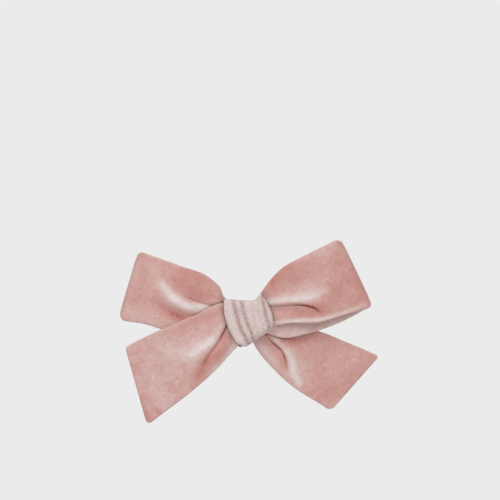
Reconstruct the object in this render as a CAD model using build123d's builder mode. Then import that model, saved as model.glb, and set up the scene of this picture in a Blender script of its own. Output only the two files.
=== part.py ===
"""A hair barrette: a velvet bow on an arched metal spring clip.

Millimetres. The clip lies along X, +Z is up and the bow faces -Y, away from the head. The origin is
the middle of the gap that the hair goes through, half way between the tension bar and the clasp arm.
"""
from build123d import *
import os
from math import asin, cos, degrees, radians, sin, sqrt

# ---- Clip: one long arched plate that everything else hangs on ----
clip_length = 60.0
clip_width = 8.0
plate_thickness = 0.8
plate_corner = 1.2
arch_radius = 110.0  # of the base plate's middle surface; its ends bend towards the head
hair_gap = 5.4  # between the tension bar and the clasp arm, at mid length
sewing_hole_radius = 0.9
sewing_hole_inset = 11.5  # from the plate's end

# ---- Hinge at the -X end ----
pin_radius = 0.6
ear_thickness = 0.8
ear_radius = 1.8
ear_fit = 0.02  # radial, pin held in the ears
running_fit = 0.06  # radial, clasp arm turning on the pin
knuckle_wall = 0.64
side_clearance = 0.15  # between the ears and the clasp arm's knuckle
pin_head_radius = 1.0
pin_head_height = 0.35

# ---- Clasp arm ----
arm_thickness = 0.8
arm_arch = 0.8  # how far its ends stand nearer the head than its middle
arm_tip_inset = 0.6  # from the plate's end
arm_neck = 3.0  # length of the narrow part between the ears, past the pin
arm_tip_radius = 1.6

# ---- Tension bar, a leaf spring hooked through the base plate ----
bar_thickness = 0.5
bar_width = 5.0
bar_anchor_inset = 5.4  # from the plate's hinge end
bar_free_inset = 7.6  # from its catch end
bar_travel_gap = 1.1  # to the knot band behind it, at mid length
bar_root_gap = 0.3
bar_free_gap = 2.0
hook_width = 2.4
hook_lip = 0.8
hook_clearance = 0.15
lip_clearance = 0.1
bar_hook_share = 0.8  # lip thickness, of the bar's

# ---- Catch at the +X end: two sprung prongs that a finger and thumb squeeze ----
bridge_thickness = 0.4
bridge_inset = 0.8  # from the plate's end
bridge_length = 6.0
rivet_inset = 4.4
rivet_radius = 0.75
rivet_head_radius = 1.4
rivet_head_height = 0.45
rivet_seat = 0.03
prong_thickness = 0.45
prong_inner_z = 2.6
prong_root_inset = 6.2
prong_root_clearance = 0.12
prong_bridge_clearance = 0.15
finger_inset = 2.8
finger_length = 2.4
thumb_tab_length = 2.2
thumb_tab_rise = 6.2
thumb_tab_corner = 0.8
web_rise = 2.9
nose_height = 0.8
nose_reach = 0.6
nose_clearance = 0.14
slot_clearance = 0.15
slot_end_clearance = 0.6

# ---- Knot band, glue pad and waist of the bow ----
knot_width = 26.0
knot_height = 27.0
knot_thickness = 2.2
knot_back_thickness = 1.0
knot_edge_round = 1.0
pad_thickness = 0.5
pad_length = 20.0
waist_depth = 9.5
thread_diameter = 0.6
thread_turns = 6
thread_pitch = 0.75

# ---- Bow: one strip of velvet tube, folded into two loops and two tails ----
strip_width = 40.0
strip_thickness = 1.8
loop_fold_depth = 6.4  # centre to centre of the two layers, where a loop folds back
right_loop_reach = 62.3
left_loop_reach = 67.2
left_tail_reach = 70.0
right_tail_reach = 66.6
right_loop_angle = 26.1
left_loop_angle = 163.3
left_tail_angle = 210.4
right_tail_angle = -31.5
tail_end_slant = 8.4  # one corner of a tail's end stands this much further out than the other
tail_corner = 2.5
right_loop_belly = 3.6  # how far a layer stands off its place at the waist, half way along
left_loop_belly = 2.2
left_tail_belly = 2.6
left_tail_stand = 1.4  # keeps the front tail's end off the loop behind it
right_tail_belly = 1.2
mouth_overhang = 2.4  # the right loop's back layer hangs below its front one
strip_start = 6.0  # inside the knot, from the middle
gather_flare = 3.0  # the wings leave the knot this much narrower than it is tall

# ---- How each wing's outline differs from a straight band of the strip's width ----
belly_place = 0.55  # of a loop's reach
right_loop_neck_inset = 3.0
right_loop_top_inset = 1.5
right_loop_top_bow = 5.0  # sagitta of a long edge, as are the other bows
right_loop_front_bow = -0.5
right_loop_back_bow = 2.0
left_loop_top_inset = 2.0
left_loop_bottom_inset = 1.3
left_loop_top_bow = 3.0
left_loop_bottom_bow = 4.5
left_tail_neck_spread = 3.0
left_tail_top_bow = 1.5
left_tail_bottom_bow = 1.0
left_tail_end_slope = 0.05
right_tail_inset = 1.0
right_tail_top_bow = 1.0
right_tail_bottom_bow = 4.0
right_tail_end_slope = -0.1

# ---- Depths at mid length, from the hair outwards ----
arm_middle = hair_gap / 2 + arm_thickness / 2
bar_middle = -hair_gap / 2 - bar_thickness / 2
knot_back = bar_middle - bar_thickness / 2 - bar_travel_gap
plate_inner = knot_back - knot_back_thickness
plate_middle = plate_inner - plate_thickness / 2
plate_outer = plate_inner - plate_thickness
waist_back = plate_outer - pad_thickness
waist_front = waist_back - waist_depth
knot_front = waist_front - knot_thickness
arch_centre = plate_middle + arch_radius

# ---- Places that follow from the sizes above ----
clip_end = clip_length / 2
arm_tip_x = clip_end - arm_tip_inset
bar_anchor_x = bar_anchor_inset - clip_end
bar_free_x = clip_end - bar_free_inset
bridge_x = (clip_end - bridge_inset - bridge_length, clip_end - bridge_inset)
rivet_x = clip_end - rivet_inset
prong_root_x = clip_end - prong_root_inset
finger_x = (clip_end - finger_inset - finger_length, clip_end - finger_inset)
sewing_hole_x = clip_end - sewing_hole_inset
pin_x = ear_radius - clip_end
knuckle_radius = pin_radius + running_fit + knuckle_wall
arm_end = arm_middle + arm_arch
pin_y = arm_end + arm_thickness / 2 - knuckle_radius
neck_half = clip_width / 2 - ear_thickness - side_clearance
prong_outer_z = prong_inner_z + prong_thickness
slot_half = prong_outer_z + slot_clearance
waist_half_height = knot_height / 2 - knot_thickness
knot_half_angle = degrees(asin(knot_width / 2 / (arch_centre - knot_front)))
pass_pitch = waist_depth / 3
front_pass = waist_front + pass_pitch / 2
middle_pass = front_pass + pass_pitch
rear_pass = middle_pass + pass_pitch
bar_corner = bar_width / 3
nose_lip = nose_height / 3
thread_sunk = thread_diameter / 6  # below the gathers' surface
cut_depth = 200.0  # past everything

arch_axis = Axis((0, arch_centre, 0), (0, 0, 1))


def arch_y(x, depth):
    """Depth at x of the arched surface that has the given depth at mid length."""
    return arch_centre - sqrt((arch_centre - depth) ** 2 - x**2)


def arch_arc(depth, x_from, x_to):
    """Arc of that surface between two places along the clip."""
    radius = arch_centre - depth
    start = degrees(asin(x_from / radius))
    size = degrees(asin(x_to / radius)) - start
    return CenterArc((0, arch_centre), radius, 270 + start, size)


def arch_normal_plane(x, depth):
    """Plane that touches the arched surface at x, with its normal towards the head."""
    y = arch_y(x, depth)
    radius = arch_centre - depth
    toward_centre = (-x / radius, (arch_centre - y) / radius, 0)
    along = (toward_centre[1], -toward_centre[0], 0)
    return Plane(origin=(x, y, 0), x_dir=along, z_dir=toward_centre)


def finish(builder, name):
    """Labels a finished piece and writes it out as a node of its own."""
    builder.part.label = name
    export_step(builder.part, f"parts/{name}.step")


os.makedirs("parts", exist_ok=True)

rivet_plane = arch_normal_plane(rivet_x, plate_middle)

# ---- Base plate, with two ears for the hinge pin ----
with BuildPart() as base_plate:
    with BuildSketch(Plane.XY):
        with BuildLine():
            arch_arc(plate_middle, -clip_length / 2, clip_length / 2)
        trace(line_width=plate_thickness)
    extrude(amount=clip_width / 2, both=True)
    with BuildSketch(Plane.XZ):
        RectangleRounded(clip_length, clip_width, plate_corner)
    extrude(amount=cut_depth, both=True, mode=Mode.INTERSECT)
    ear_foot = arch_y(pin_x, plate_middle)
    for ear_start in (clip_width / 2 - ear_thickness, -clip_width / 2):
        with BuildSketch(Plane.XY.offset(ear_start)):
            with Locations((pin_x, pin_y)):
                Circle(ear_radius)
            with Locations((pin_x, (pin_y + ear_foot) / 2)):
                Rectangle(2 * ear_radius, pin_y - ear_foot)
        extrude(amount=ear_thickness)
    with BuildSketch(Plane.XY.offset(-clip_width / 2)):
        with Locations((pin_x, pin_y)):
            Circle(pin_radius + ear_fit)
    extrude(amount=clip_width, mode=Mode.SUBTRACT)
    with BuildSketch(Plane.XZ):
        with Locations((sewing_hole_x, 0), (-sewing_hole_x, 0)):
            Circle(sewing_hole_radius)
        with Locations((bar_anchor_x, 0)):
            Rectangle(bar_thickness + 2 * hook_clearance, hook_width + 2 * hook_clearance)
    extrude(amount=cut_depth, both=True, mode=Mode.SUBTRACT)
    with BuildSketch(rivet_plane):
        Circle(rivet_radius)
    extrude(amount=plate_thickness, both=True, mode=Mode.SUBTRACT)
finish(base_plate, "base_plate")

# ---- Hinge pin with two riveted heads ----
with BuildPart() as hinge_pin:
    with BuildSketch(Plane.XY.offset(-clip_width / 2)):
        with Locations((pin_x, pin_y)):
            Circle(pin_radius)
    extrude(amount=clip_width)
    for head_start in (clip_width / 2, -clip_width / 2 - pin_head_height):
        with BuildSketch(Plane.XY.offset(head_start)):
            with Locations((pin_x, pin_y)):
                Circle(pin_head_radius)
        extrude(amount=pin_head_height)
finish(hinge_pin, "hinge_pin")

# ---- Clasp arm: knuckle on the pin, a slot for the prongs near the tip ----
with BuildPart() as clasp_arm:
    with BuildSketch(Plane.XY):
        with BuildLine():
            ThreePointArc((pin_x, arm_end), (0, arm_middle), (arm_tip_x, arm_end))
        trace(line_width=arm_thickness)
        with Locations((pin_x, pin_y)):
            Circle(knuckle_radius)
    extrude(amount=clip_width / 2, both=True)
    neck_end = pin_x + ear_radius + arm_neck
    with BuildSketch(Plane.XZ):
        with Locations(((neck_end + arm_tip_x) / 2, 0)):
            RectangleRounded(arm_tip_x - neck_end, clip_width, arm_tip_radius)
        with Locations(((pin_x - knuckle_radius + neck_end + arm_tip_radius) / 2, 0)):
            Rectangle(neck_end + arm_tip_radius - pin_x + knuckle_radius, 2 * neck_half)
    extrude(amount=cut_depth, both=True, mode=Mode.INTERSECT)
    with BuildSketch(Plane.XY):
        with Locations((pin_x, pin_y)):
            Circle(pin_radius + running_fit)
    extrude(amount=clip_width, both=True, mode=Mode.SUBTRACT)
    slot_start = finger_x[0] - slot_end_clearance
    slot_end = finger_x[1] + slot_end_clearance
    with BuildSketch(Plane.XZ):
        with Locations(((slot_start + slot_end) / 2, 0)):
            Rectangle(slot_end - slot_start, 2 * slot_half)
    extrude(amount=cut_depth, both=True, mode=Mode.SUBTRACT)
finish(clasp_arm, "clasp_arm")

# ---- Tension bar: bowed leaf with a hook through the base plate ----
bar_anchor_y = arch_y(bar_anchor_x, plate_inner) + bar_root_gap + bar_thickness / 2
bar_free_y = arch_y(bar_free_x, plate_inner) + bar_free_gap + bar_thickness / 2
hook_tip_y = arch_y(bar_anchor_x, plate_outer) - lip_clearance - bar_thickness
with BuildPart() as tension_bar:
    with BuildSketch(Plane.XY):
        with BuildLine():
            ThreePointArc((bar_anchor_x, bar_anchor_y), (0, bar_middle), (bar_free_x, bar_free_y))
        trace(line_width=bar_thickness)
    extrude(amount=bar_width / 2, both=True)
    bar_length = bar_free_x - bar_anchor_x + bar_thickness
    with BuildSketch(Plane.XZ):
        with Locations(((bar_free_x + bar_anchor_x - bar_thickness) / 2, 0)):
            RectangleRounded(bar_length, bar_width, bar_corner)
    extrude(amount=cut_depth, both=True, mode=Mode.INTERSECT)
    with BuildSketch(Plane.XY):
        with BuildLine():
            Polyline(
                (bar_anchor_x + bar_thickness / 2, bar_anchor_y),
                (bar_anchor_x + bar_thickness / 2, hook_tip_y),
                (bar_anchor_x - bar_thickness / 2 - hook_lip, hook_tip_y),
                (bar_anchor_x - bar_thickness / 2 - hook_lip, hook_tip_y + bar_thickness * bar_hook_share),
                (bar_anchor_x - bar_thickness / 2, hook_tip_y + bar_thickness * bar_hook_share),
                (bar_anchor_x - bar_thickness / 2, bar_anchor_y),
                close=True,
            )
        make_face()
    extrude(amount=hook_width / 2, both=True)
finish(tension_bar, "tension_bar")

# ---- Catch bridge, the riveted foot of the spring catch ----
with BuildPart() as catch_bridge:
    with BuildSketch(Plane.XY):
        with BuildLine():
            arch_arc(plate_inner + bridge_thickness / 2, bridge_x[0], bridge_x[1])
        trace(line_width=bridge_thickness)
    extrude(amount=prong_inner_z - prong_bridge_clearance, both=True)
    with BuildSketch(rivet_plane):
        Circle(rivet_radius)
    extrude(amount=plate_thickness + bridge_thickness, both=True, mode=Mode.SUBTRACT)
finish(catch_bridge, "catch_bridge")

# ---- Catch rivet ----
outer_head = -plate_thickness / 2 - rivet_seat
inner_head = plate_thickness / 2 + bridge_thickness + rivet_seat
with BuildPart() as catch_rivet:
    with BuildSketch(rivet_plane.offset(outer_head - rivet_head_height)):
        Circle(rivet_head_radius)
    extrude(amount=rivet_head_height)
    with BuildSketch(rivet_plane.offset(outer_head)):
        Circle(rivet_radius)
    extrude(amount=inner_head - outer_head)
    with BuildSketch(rivet_plane.offset(inner_head)):
        Circle(rivet_head_radius)
    extrude(amount=rivet_head_height)
finish(catch_rivet, "catch_rivet")

# ---- Catch prongs: a web on the bridge, a hooked finger in the slot, a thumb tab past the tip ----
root_run = clip_end - prong_root_x
root_slope = (arch_y(clip_end, plate_inner) - arch_y(prong_root_x, plate_inner)) / root_run
thumb_start = arm_tip_x + slot_end_clearance + arm_thickness / 2
thumb_end = thumb_start + thumb_tab_length
nose_foot = arm_end + arm_thickness / 2 + nose_clearance


def root_y(x):
    """Depth at x of a prong's foot, a straight edge that follows the plate just clear of it."""
    return arch_y(prong_root_x, plate_inner) + prong_root_clearance + root_slope * (x - prong_root_x)


for side, name in ((1, "catch_prong_upper"), (-1, "catch_prong_lower")):
    web_top = root_y(prong_root_x) + web_rise
    finger_top = nose_foot + nose_height
    tab_top = arm_end + thumb_tab_rise / 2
    leg_start = prong_inner_z if side > 0 else -prong_outer_z
    with BuildPart() as prong:
        with BuildSketch(Plane.XY.offset(leg_start)) as leg:
            with BuildLine():
                Polyline(
                    (prong_root_x, root_y(prong_root_x)),
                    (thumb_end, root_y(thumb_end)),
                    (thumb_end, tab_top),
                    (thumb_start, tab_top),
                    (thumb_start, web_top),
                    (finger_x[1], web_top),
                    (finger_x[1], finger_top),
                    (finger_x[0], finger_top),
                    (finger_x[0], web_top),
                    (prong_root_x, web_top),
                    close=True,
                )
            make_face()
            tab_corners = leg.vertices().group_by(Axis.Y)[-1]
            fillet(tab_corners, radius=thumb_tab_corner)
        extrude(amount=prong_thickness)
        with BuildSketch(Plane.YZ.offset(finger_x[0])):
            with BuildLine():
                Polyline(
                    (nose_foot, side * prong_inner_z),
                    (nose_foot, side * (prong_outer_z + nose_reach)),
                    (nose_foot + nose_lip, side * (prong_outer_z + nose_reach)),
                    (finger_top, side * prong_outer_z),
                    (finger_top, side * prong_inner_z),
                    close=True,
                )
            make_face()
        extrude(amount=finger_x[1] - finger_x[0])
    finish(prong, name)

# ---- Glue pad between the base plate and the bow ----
with BuildPart() as glue_pad:
    with BuildSketch(Plane.XY):
        with BuildLine():
            arch_arc(plate_outer - pad_thickness / 2, -pad_length / 2, pad_length / 2)
        trace(line_width=pad_thickness)
    extrude(amount=clip_width / 2 - pad_thickness, both=True)
finish(glue_pad, "glue_pad")

# ---- Waist of the bow: the gathered strip, with a groove that the thread is wound into ----
groove_half = thread_turns * thread_pitch / 2
with BuildPart() as waist_gathers:
    with BuildSketch(Plane.YZ):
        with Locations(((waist_front + waist_back) / 2, 0)):
            Rectangle(waist_depth, 2 * waist_half_height)
    revolve(axis=arch_axis, revolution_arc=knot_half_angle)
    mirror(about=Plane.YZ)
    with BuildSketch(Plane.YZ.offset(-groove_half)):
        with Locations(((waist_front + waist_back) / 2, 0)):
            Rectangle(waist_depth + thread_diameter, 2 * waist_half_height + thread_diameter)
            Rectangle(
                waist_depth - 2 * thread_diameter,
                2 * (waist_half_height - thread_diameter),
                mode=Mode.SUBTRACT,
            )
    extrude(amount=2 * groove_half, mode=Mode.SUBTRACT)
finish(waist_gathers, "waist_gathers")

# ---- Waist thread, wound round the gathers ----
with BuildPart() as waist_thread:
    for turn in range(thread_turns):
        turn_x = (turn + 0.5) * thread_pitch - groove_half - thread_diameter / 2
        with BuildSketch(Plane.YZ.offset(turn_x)):
            with Locations(((waist_front + waist_back) / 2, 0)):
                Rectangle(waist_depth - 2 * thread_sunk, 2 * (waist_half_height - thread_sunk))
                Rectangle(
                    waist_depth - 2 * thread_diameter,
                    2 * (waist_half_height - thread_diameter),
                    mode=Mode.SUBTRACT,
                )
        extrude(amount=thread_diameter)
finish(waist_thread, "waist_thread")

# ---- Knot band, once round the waist and the base plate ----
back_half = clip_width / 2
with BuildPart() as knot_wrap:
    with BuildSketch(Plane.YZ):
        with BuildLine():
            Polyline(
                (knot_front, -knot_height / 2),
                (waist_back, -knot_height / 2),
                (knot_back, -back_half - knot_back_thickness),
                (knot_back, back_half + knot_back_thickness),
                (waist_back, knot_height / 2),
                (knot_front, knot_height / 2),
                close=True,
            )
        make_face()
        with BuildLine():
            Polyline(
                (waist_front, -waist_half_height),
                (waist_back, -waist_half_height),
                (plate_inner, -back_half),
                (plate_inner, back_half),
                (waist_back, waist_half_height),
                (waist_front, waist_half_height),
                close=True,
            )
        make_face(mode=Mode.SUBTRACT)
    revolve(axis=arch_axis, revolution_arc=knot_half_angle)
    mirror(about=Plane.YZ)
    front_rims = knot_wrap.edges().group_by(Axis.Y)[0]
    fillet(front_rims, radius=knot_edge_round)
finish(knot_wrap, "knot_wrap")

# ---- Everything the bow's wings have to stay clear of at the middle ----
with BuildPart() as knot_space:
    with BuildSketch(Plane.YZ):
        with Locations(((knot_front + knot_back) / 2, 0)):
            Rectangle(knot_back - knot_front, knot_height)
    revolve(axis=arch_axis, revolution_arc=knot_half_angle)
    mirror(about=Plane.YZ)


def wing(name, angle, layer, outline):
    """One layer of the bow: a curved band of cloth seen edge on, cut to its outline seen from the front.

    layer is a list of (reach, depth) points of the cloth's middle surface and the tangents at its two
    ends. outline is four (reach, sideways) corners, near and far, with the sagitta of its two long edges.
    """
    out = (cos(radians(angle)), 0, sin(radians(angle)))
    across = (-sin(radians(angle)), 0, cos(radians(angle)))
    points, tangents = layer
    near_left, far_left, far_right, near_right, left_bow, right_bow, corner = outline
    with BuildPart() as cloth:
        with BuildSketch(Plane(origin=(0, 0, 0), x_dir=out, z_dir=across)):
            with BuildLine():
                Spline(*points, tangents=tangents)
            trace(line_width=strip_thickness)
        extrude(amount=cut_depth, both=True)
        with BuildSketch(Plane(origin=(0, 0, 0), x_dir=out, z_dir=(0, -1, 0))) as shape:
            with BuildLine():
                SagittaArc(near_left, far_left, left_bow)
                Line(far_left, far_right)
                SagittaArc(far_right, near_right, right_bow)
                Line(near_right, near_left)
            make_face()
            if corner > 0:
                ends = shape.vertices().sort_by(Axis.X)[-2:]
                fillet(ends, radius=corner)
        extrude(amount=cut_depth, both=True, mode=Mode.INTERSECT)
        add(knot_space.part, mode=Mode.SUBTRACT)
    finish(cloth, name)


near = strip_start
half = strip_width / 2
fold_allowance = strip_thickness
gather_wide = knot_height / 2 - gather_flare
gather_narrow = knot_height / 2 - 2 * gather_flare


def loop_layers(reach, near_depth, belly_depth, fold_depth, far_sign):
    """Middle surface of one layer of a loop, out to the middle of its fold."""
    tip = (reach - strip_thickness / 2, fold_depth)
    belly = (reach * belly_place, belly_depth)
    shoulder = (reach - loop_fold_depth / 2, fold_depth + far_sign * loop_fold_depth / 2)
    return [(near, near_depth), belly, shoulder, tip], [(1, 0), (0, -far_sign)]


right_fold = (front_pass + middle_pass) / 2
left_fold = (middle_pass + rear_pass) / 2

for name, depth, sign, side_near, side_far, side_bow in (
    ("right_loop_front", front_pass, -1, -gather_narrow, -half, right_loop_front_bow),
    ("right_loop_back", middle_pass, 1, -gather_wide, -half - mouth_overhang, right_loop_back_bow),
):
    wing(
        name,
        right_loop_angle,
        loop_layers(right_loop_reach, depth, depth + sign * right_loop_belly, right_fold, sign),
        (
            (near, gather_wide - right_loop_neck_inset),
            (right_loop_reach + fold_allowance, half - right_loop_top_inset),
            (right_loop_reach + fold_allowance, side_far),
            (near, side_near),
            right_loop_top_bow,
            side_bow,
            0,
        ),
    )

for name, depth, sign in (
    ("left_loop_front", middle_pass, -1),
    ("left_loop_back", rear_pass, 1),
):
    wing(
        name,
        left_loop_angle,
        loop_layers(left_loop_reach, depth, depth + sign * left_loop_belly, left_fold, sign),
        (
            (near, gather_narrow),
            (left_loop_reach + fold_allowance, half - left_loop_top_inset),
            (left_loop_reach + fold_allowance, -half + left_loop_bottom_inset),
            (near, -gather_narrow),
            left_loop_top_bow,
            left_loop_bottom_bow,
            0,
        ),
    )

slant = tail_end_slant / 2
wing(
    "left_tail",
    left_tail_angle,
    (
        [
            (near, front_pass),
            (left_tail_reach / 2, front_pass - left_tail_belly),
            (left_tail_reach + slant, front_pass - left_tail_stand),
        ],
        [(1, 0), (1, left_tail_end_slope)],
    ),
    (
        (near, gather_narrow),
        (left_tail_reach + slant, half),
        (left_tail_reach - slant, -half),
        (near, -gather_wide - left_tail_neck_spread),
        left_tail_top_bow,
        left_tail_bottom_bow,
        tail_corner,
    ),
)
wing(
    "right_tail",
    right_tail_angle,
    (
        [
            (near, rear_pass),
            (right_tail_reach / 2, rear_pass + right_tail_belly),
            (right_tail_reach + slant, rear_pass),
        ],
        [(1, 0), (1, right_tail_end_slope)],
    ),
    (
        (near, gather_narrow - right_tail_inset),
        (right_tail_reach + slant, half - right_tail_inset),
        (right_tail_reach - slant, -half + right_tail_inset),
        (near, -gather_wide + right_tail_inset),
        right_tail_top_bow,
        right_tail_bottom_bow,
        tail_corner,
    ),
)
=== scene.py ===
"""Velvet bow barrette: cloth surfaces, pleated knot and finishes, built round the clip's frame."""
import math

import bmesh
import bpy
import numpy as np
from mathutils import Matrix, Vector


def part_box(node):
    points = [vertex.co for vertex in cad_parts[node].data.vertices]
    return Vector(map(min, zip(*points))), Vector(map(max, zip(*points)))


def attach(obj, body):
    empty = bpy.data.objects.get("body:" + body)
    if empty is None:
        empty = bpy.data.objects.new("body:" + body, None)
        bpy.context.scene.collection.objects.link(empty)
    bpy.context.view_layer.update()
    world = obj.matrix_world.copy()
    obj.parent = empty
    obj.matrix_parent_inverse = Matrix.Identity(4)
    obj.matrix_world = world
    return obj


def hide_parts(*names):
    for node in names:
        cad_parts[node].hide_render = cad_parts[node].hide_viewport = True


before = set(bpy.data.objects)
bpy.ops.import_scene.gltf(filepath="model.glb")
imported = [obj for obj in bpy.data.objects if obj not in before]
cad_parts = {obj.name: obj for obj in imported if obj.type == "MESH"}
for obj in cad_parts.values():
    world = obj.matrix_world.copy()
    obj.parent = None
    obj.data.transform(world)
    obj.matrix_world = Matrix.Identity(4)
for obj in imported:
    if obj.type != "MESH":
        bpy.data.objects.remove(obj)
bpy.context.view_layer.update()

MM = 0.001
RIM = 1.0  # mm, radius of the cloth tube's turned edge
REVERSE_NAP_AND_LIGHT = 0.3  # share of the front's tone, painted highlights and shade included, that the back of a wing shows
NAP_AND_LIGHT_GAIN = 0.54  # tone that an attribute value of 1 adds to the middle one; the attribute holds the pile's tone and painted light and shade
STRIP_WIDTH = 0.040
TAIL_LENGTH = 0.070
LOOP_LENGTH = 0.128

# Depths, in mm, that the clip and the waist of the bow give. The strip goes through the knot three times,
# one pass behind another
PAD = 0.5  # thickness of the glue between the plate and the bow
plate_low, plate_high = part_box("base_plate")
waist_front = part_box("waist_gathers")[0][1] / MM
waist_mid_back = plate_low[1] / MM - PAD
waist_middle = (waist_mid_back + waist_front) / 2
pass_pitch = (waist_mid_back - waist_front) / 3
FRONT_PASS = waist_front + pass_pitch / 2
MIDDLE_PASS = FRONT_PASS + pass_pitch
REAR_PASS = MIDDLE_PASS + pass_pitch


# ---------------------------------------------------------------- camera, lights, world
def srgb(*channels):
    """Linear colour of three 0-255 display values."""
    share = np.array(channels) / 255.0
    linear = np.where(share <= 0.04045, share / 12.92, ((share + 0.055) / 1.055) ** 2.4)
    return tuple(float(v) for v in linear)


VIEW_WIDTH = 272.5 * MM  # what the camera takes in from side to side at bow_depth
VIEW_CENTRE = (0.3 * MM, 38.4 * MM)
CAMERA_DISTANCE = 1.25
CAMERA_NEAR = 0.05
SENSOR = 36.0
bow_depth = 0.5 * (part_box("right_loop_front")[0][1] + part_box("left_loop_back")[1][1])


def make_camera():
    """Level camera square to the bow. Its lens shows VIEW_WIDTH at the bow's middle depth."""
    camera = bpy.data.cameras.new("camera")
    camera.sensor_width = SENSOR
    camera.lens = SENSOR * CAMERA_DISTANCE / VIEW_WIDTH
    camera.clip_start = CAMERA_NEAR
    stand = bpy.data.objects.new("camera", camera)
    stand.location = (VIEW_CENTRE[0], bow_depth - CAMERA_DISTANCE, VIEW_CENTRE[1])
    stand.rotation_euler = (math.pi / 2, 0, 0)
    bpy.context.collection.objects.link(stand)
    bpy.context.scene.camera = stand


def soft_light(name, place, size, power):
    """White square area light, turned to face the knot, which is at the origin."""
    light = bpy.data.lights.new(name, "AREA")
    light.size = size
    light.energy = power
    lamp = bpy.data.objects.new(name, light)
    lamp.location = place
    aim = -np.array(place)
    flat = math.hypot(aim[0], aim[1])
    lamp.rotation_euler = (math.pi / 2 + math.atan2(aim[2], flat), 0, math.atan2(-aim[0], aim[1]))
    bpy.context.collection.objects.link(lamp)


BACKDROP = srgb(235, 235, 235)
AMBIENT = (0.34, 0.84)  # strength straight from below and straight from above


def make_world():
    """Pale studio: the backdrop's grey where the camera looks past the bow, and on the bow a fill that
    grows from below to above."""
    world = bpy.data.worlds.new("studio")
    bpy.context.scene.world = world
    world.use_nodes = True
    nodes, links = world.node_tree.nodes, world.node_tree.links
    nodes.clear()
    out = nodes.new("ShaderNodeOutputWorld")
    seen = nodes.new("ShaderNodeBackground")
    seen.inputs["Color"].default_value = (*BACKDROP, 1)
    fill = nodes.new("ShaderNodeBackground")
    heading = nodes.new("ShaderNodeTexCoord")
    split = nodes.new("ShaderNodeSeparateXYZ")
    links.new(heading.outputs["Generated"], split.inputs[0])
    height = nodes.new("ShaderNodeMapRange")
    for socket, value in zip(("From Min", "From Max", "To Min", "To Max"), (-1, 1, *AMBIENT)):
        height.inputs[socket].default_value = value
    links.new(split.outputs["Z"], height.inputs["Value"])
    links.new(height.outputs["Result"], fill.inputs["Strength"])
    path = nodes.new("ShaderNodeLightPath")
    mix = nodes.new("ShaderNodeMixShader")
    links.new(path.outputs["Is Camera Ray"], mix.inputs[0])
    links.new(fill.outputs[0], mix.inputs[1])
    links.new(seen.outputs[0], mix.inputs[2])
    links.new(mix.outputs[0], out.inputs[0])


make_camera()
make_world()
soft_light("key", place=(-0.55, -0.9, 0.85), size=0.6, power=7.0)
soft_light("front", place=(0.35, -1.1, 0.25), size=0.9, power=4.6)
soft_light("back_fill", place=(0.4, 1.0, 0.6), size=0.8, power=6.0)
bpy.context.scene.view_settings.view_transform = "Standard"


# ---------------------------------------------------------------- shader expressions
class Value:
    """A number or colour socket in a material. + - * and clamped() add Math nodes."""

    def __init__(self, sheet, socket):
        self.sheet, self.socket = sheet, socket

    def _math(self, operation, first, second, clamp=False):
        """The result of a Math node on two inputs."""
        settings = {"operation": operation, "use_clamp": clamp}
        return self.sheet.add("ShaderNodeMath", settings, {0: first, 1: second})

    def __add__(self, other):
        return self._math("ADD", self, other)

    def __radd__(self, other):
        return self._math("ADD", other, self)

    def __sub__(self, other):
        return self._math("SUBTRACT", self, other)

    def __rsub__(self, other):
        return self._math("SUBTRACT", other, self)

    def __mul__(self, other):
        return self._math("MULTIPLY", self, other)

    def clamped(self):
        """The same value, held between 0 and 1."""
        return self._math("ADD", self, 0.0, clamp=True)


class Finish:
    """One procedural material: nodes come from add(), and done() joins the shader to the output."""

    def __init__(self, name):
        self.material = bpy.data.materials.new(name)
        self.material.use_nodes = True
        self.tree = self.material.node_tree
        self.tree.nodes.clear()

    def add(self, kind, settings=None, inputs=None, output=0):
        """One output of a new node, whose inputs are given as numbers or as Values to link."""
        node = self.tree.nodes.new(kind)
        for key, value in (settings or {}).items():
            setattr(node, key, value)
        for key, value in (inputs or {}).items():
            if isinstance(value, Value):
                self.tree.links.new(value.socket, node.inputs[key])
            else:
                node.inputs[key].default_value = value
        return Value(self, node.outputs[output])

    def noise(self, where, scale, detail=2.0, roughness=0.5, distortion=0.0):
        """Cloudy pattern, mostly between 0 and 1, with scale cells to each unit of where."""
        inputs = {"Vector": where, "Scale": scale, "Detail": detail}
        inputs.update({"Roughness": roughness, "Distortion": distortion})
        return self.add("ShaderNodeTexNoise", {}, inputs)

    def ramp(self, factor, stops):
        """Colour ramp: stops is a list of (position, linear colour)."""
        made = self.add("ShaderNodeValToRGB", {}, {"Fac": factor})
        elements = made.socket.node.color_ramp.elements
        while len(elements) < len(stops):
            elements.new(0.5)
        for element, (position, colour) in zip(elements, stops):
            element.position = position
            element.color = (*colour, 1)
        return made

    def mix(self, factor, first, second):
        """The first colour where factor is 0, the second where it is 1."""
        node = self.tree.nodes.new("ShaderNodeMix")
        node.data_type = "RGBA"
        for socket, value in ((node.inputs[0], factor), (node.inputs[6], first), (node.inputs[7], second)):
            if isinstance(value, Value):
                self.tree.links.new(value.socket, socket)
            else:
                socket.default_value = value if np.isscalar(value) else (*value, 1)
        return Value(self, node.outputs[2])

    def place(self):
        """Each point's place in its own object, as coordinates for a pattern."""
        return self.add("ShaderNodeTexCoord", {}, {}, "Object")

    def attribute(self, name):
        """A number that the mesh holds at its points."""
        return self.add("ShaderNodeAttribute", {"attribute_name": name}, {}, "Fac")

    def bump(self, height, strength, distance, before=None):
        """Normal tilted by a height pattern, on top of the bump before it."""
        inputs = {"Height": height, "Strength": strength, "Distance": distance}
        if before is not None:
            inputs["Normal"] = before
        return self.add("ShaderNodeBump", {}, inputs)

    def done(self, **inputs):
        """Joins a surface shader with these inputs to the output, and gives back the material."""
        named = {key.replace("_", " "): value for key, value in inputs.items()}
        shader = self.add("ShaderNodeBsdfPrincipled", {}, named)
        out = self.tree.nodes.new("ShaderNodeOutputMaterial")
        self.tree.links.new(shader.socket, out.inputs["Surface"])
        return self.material


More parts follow.
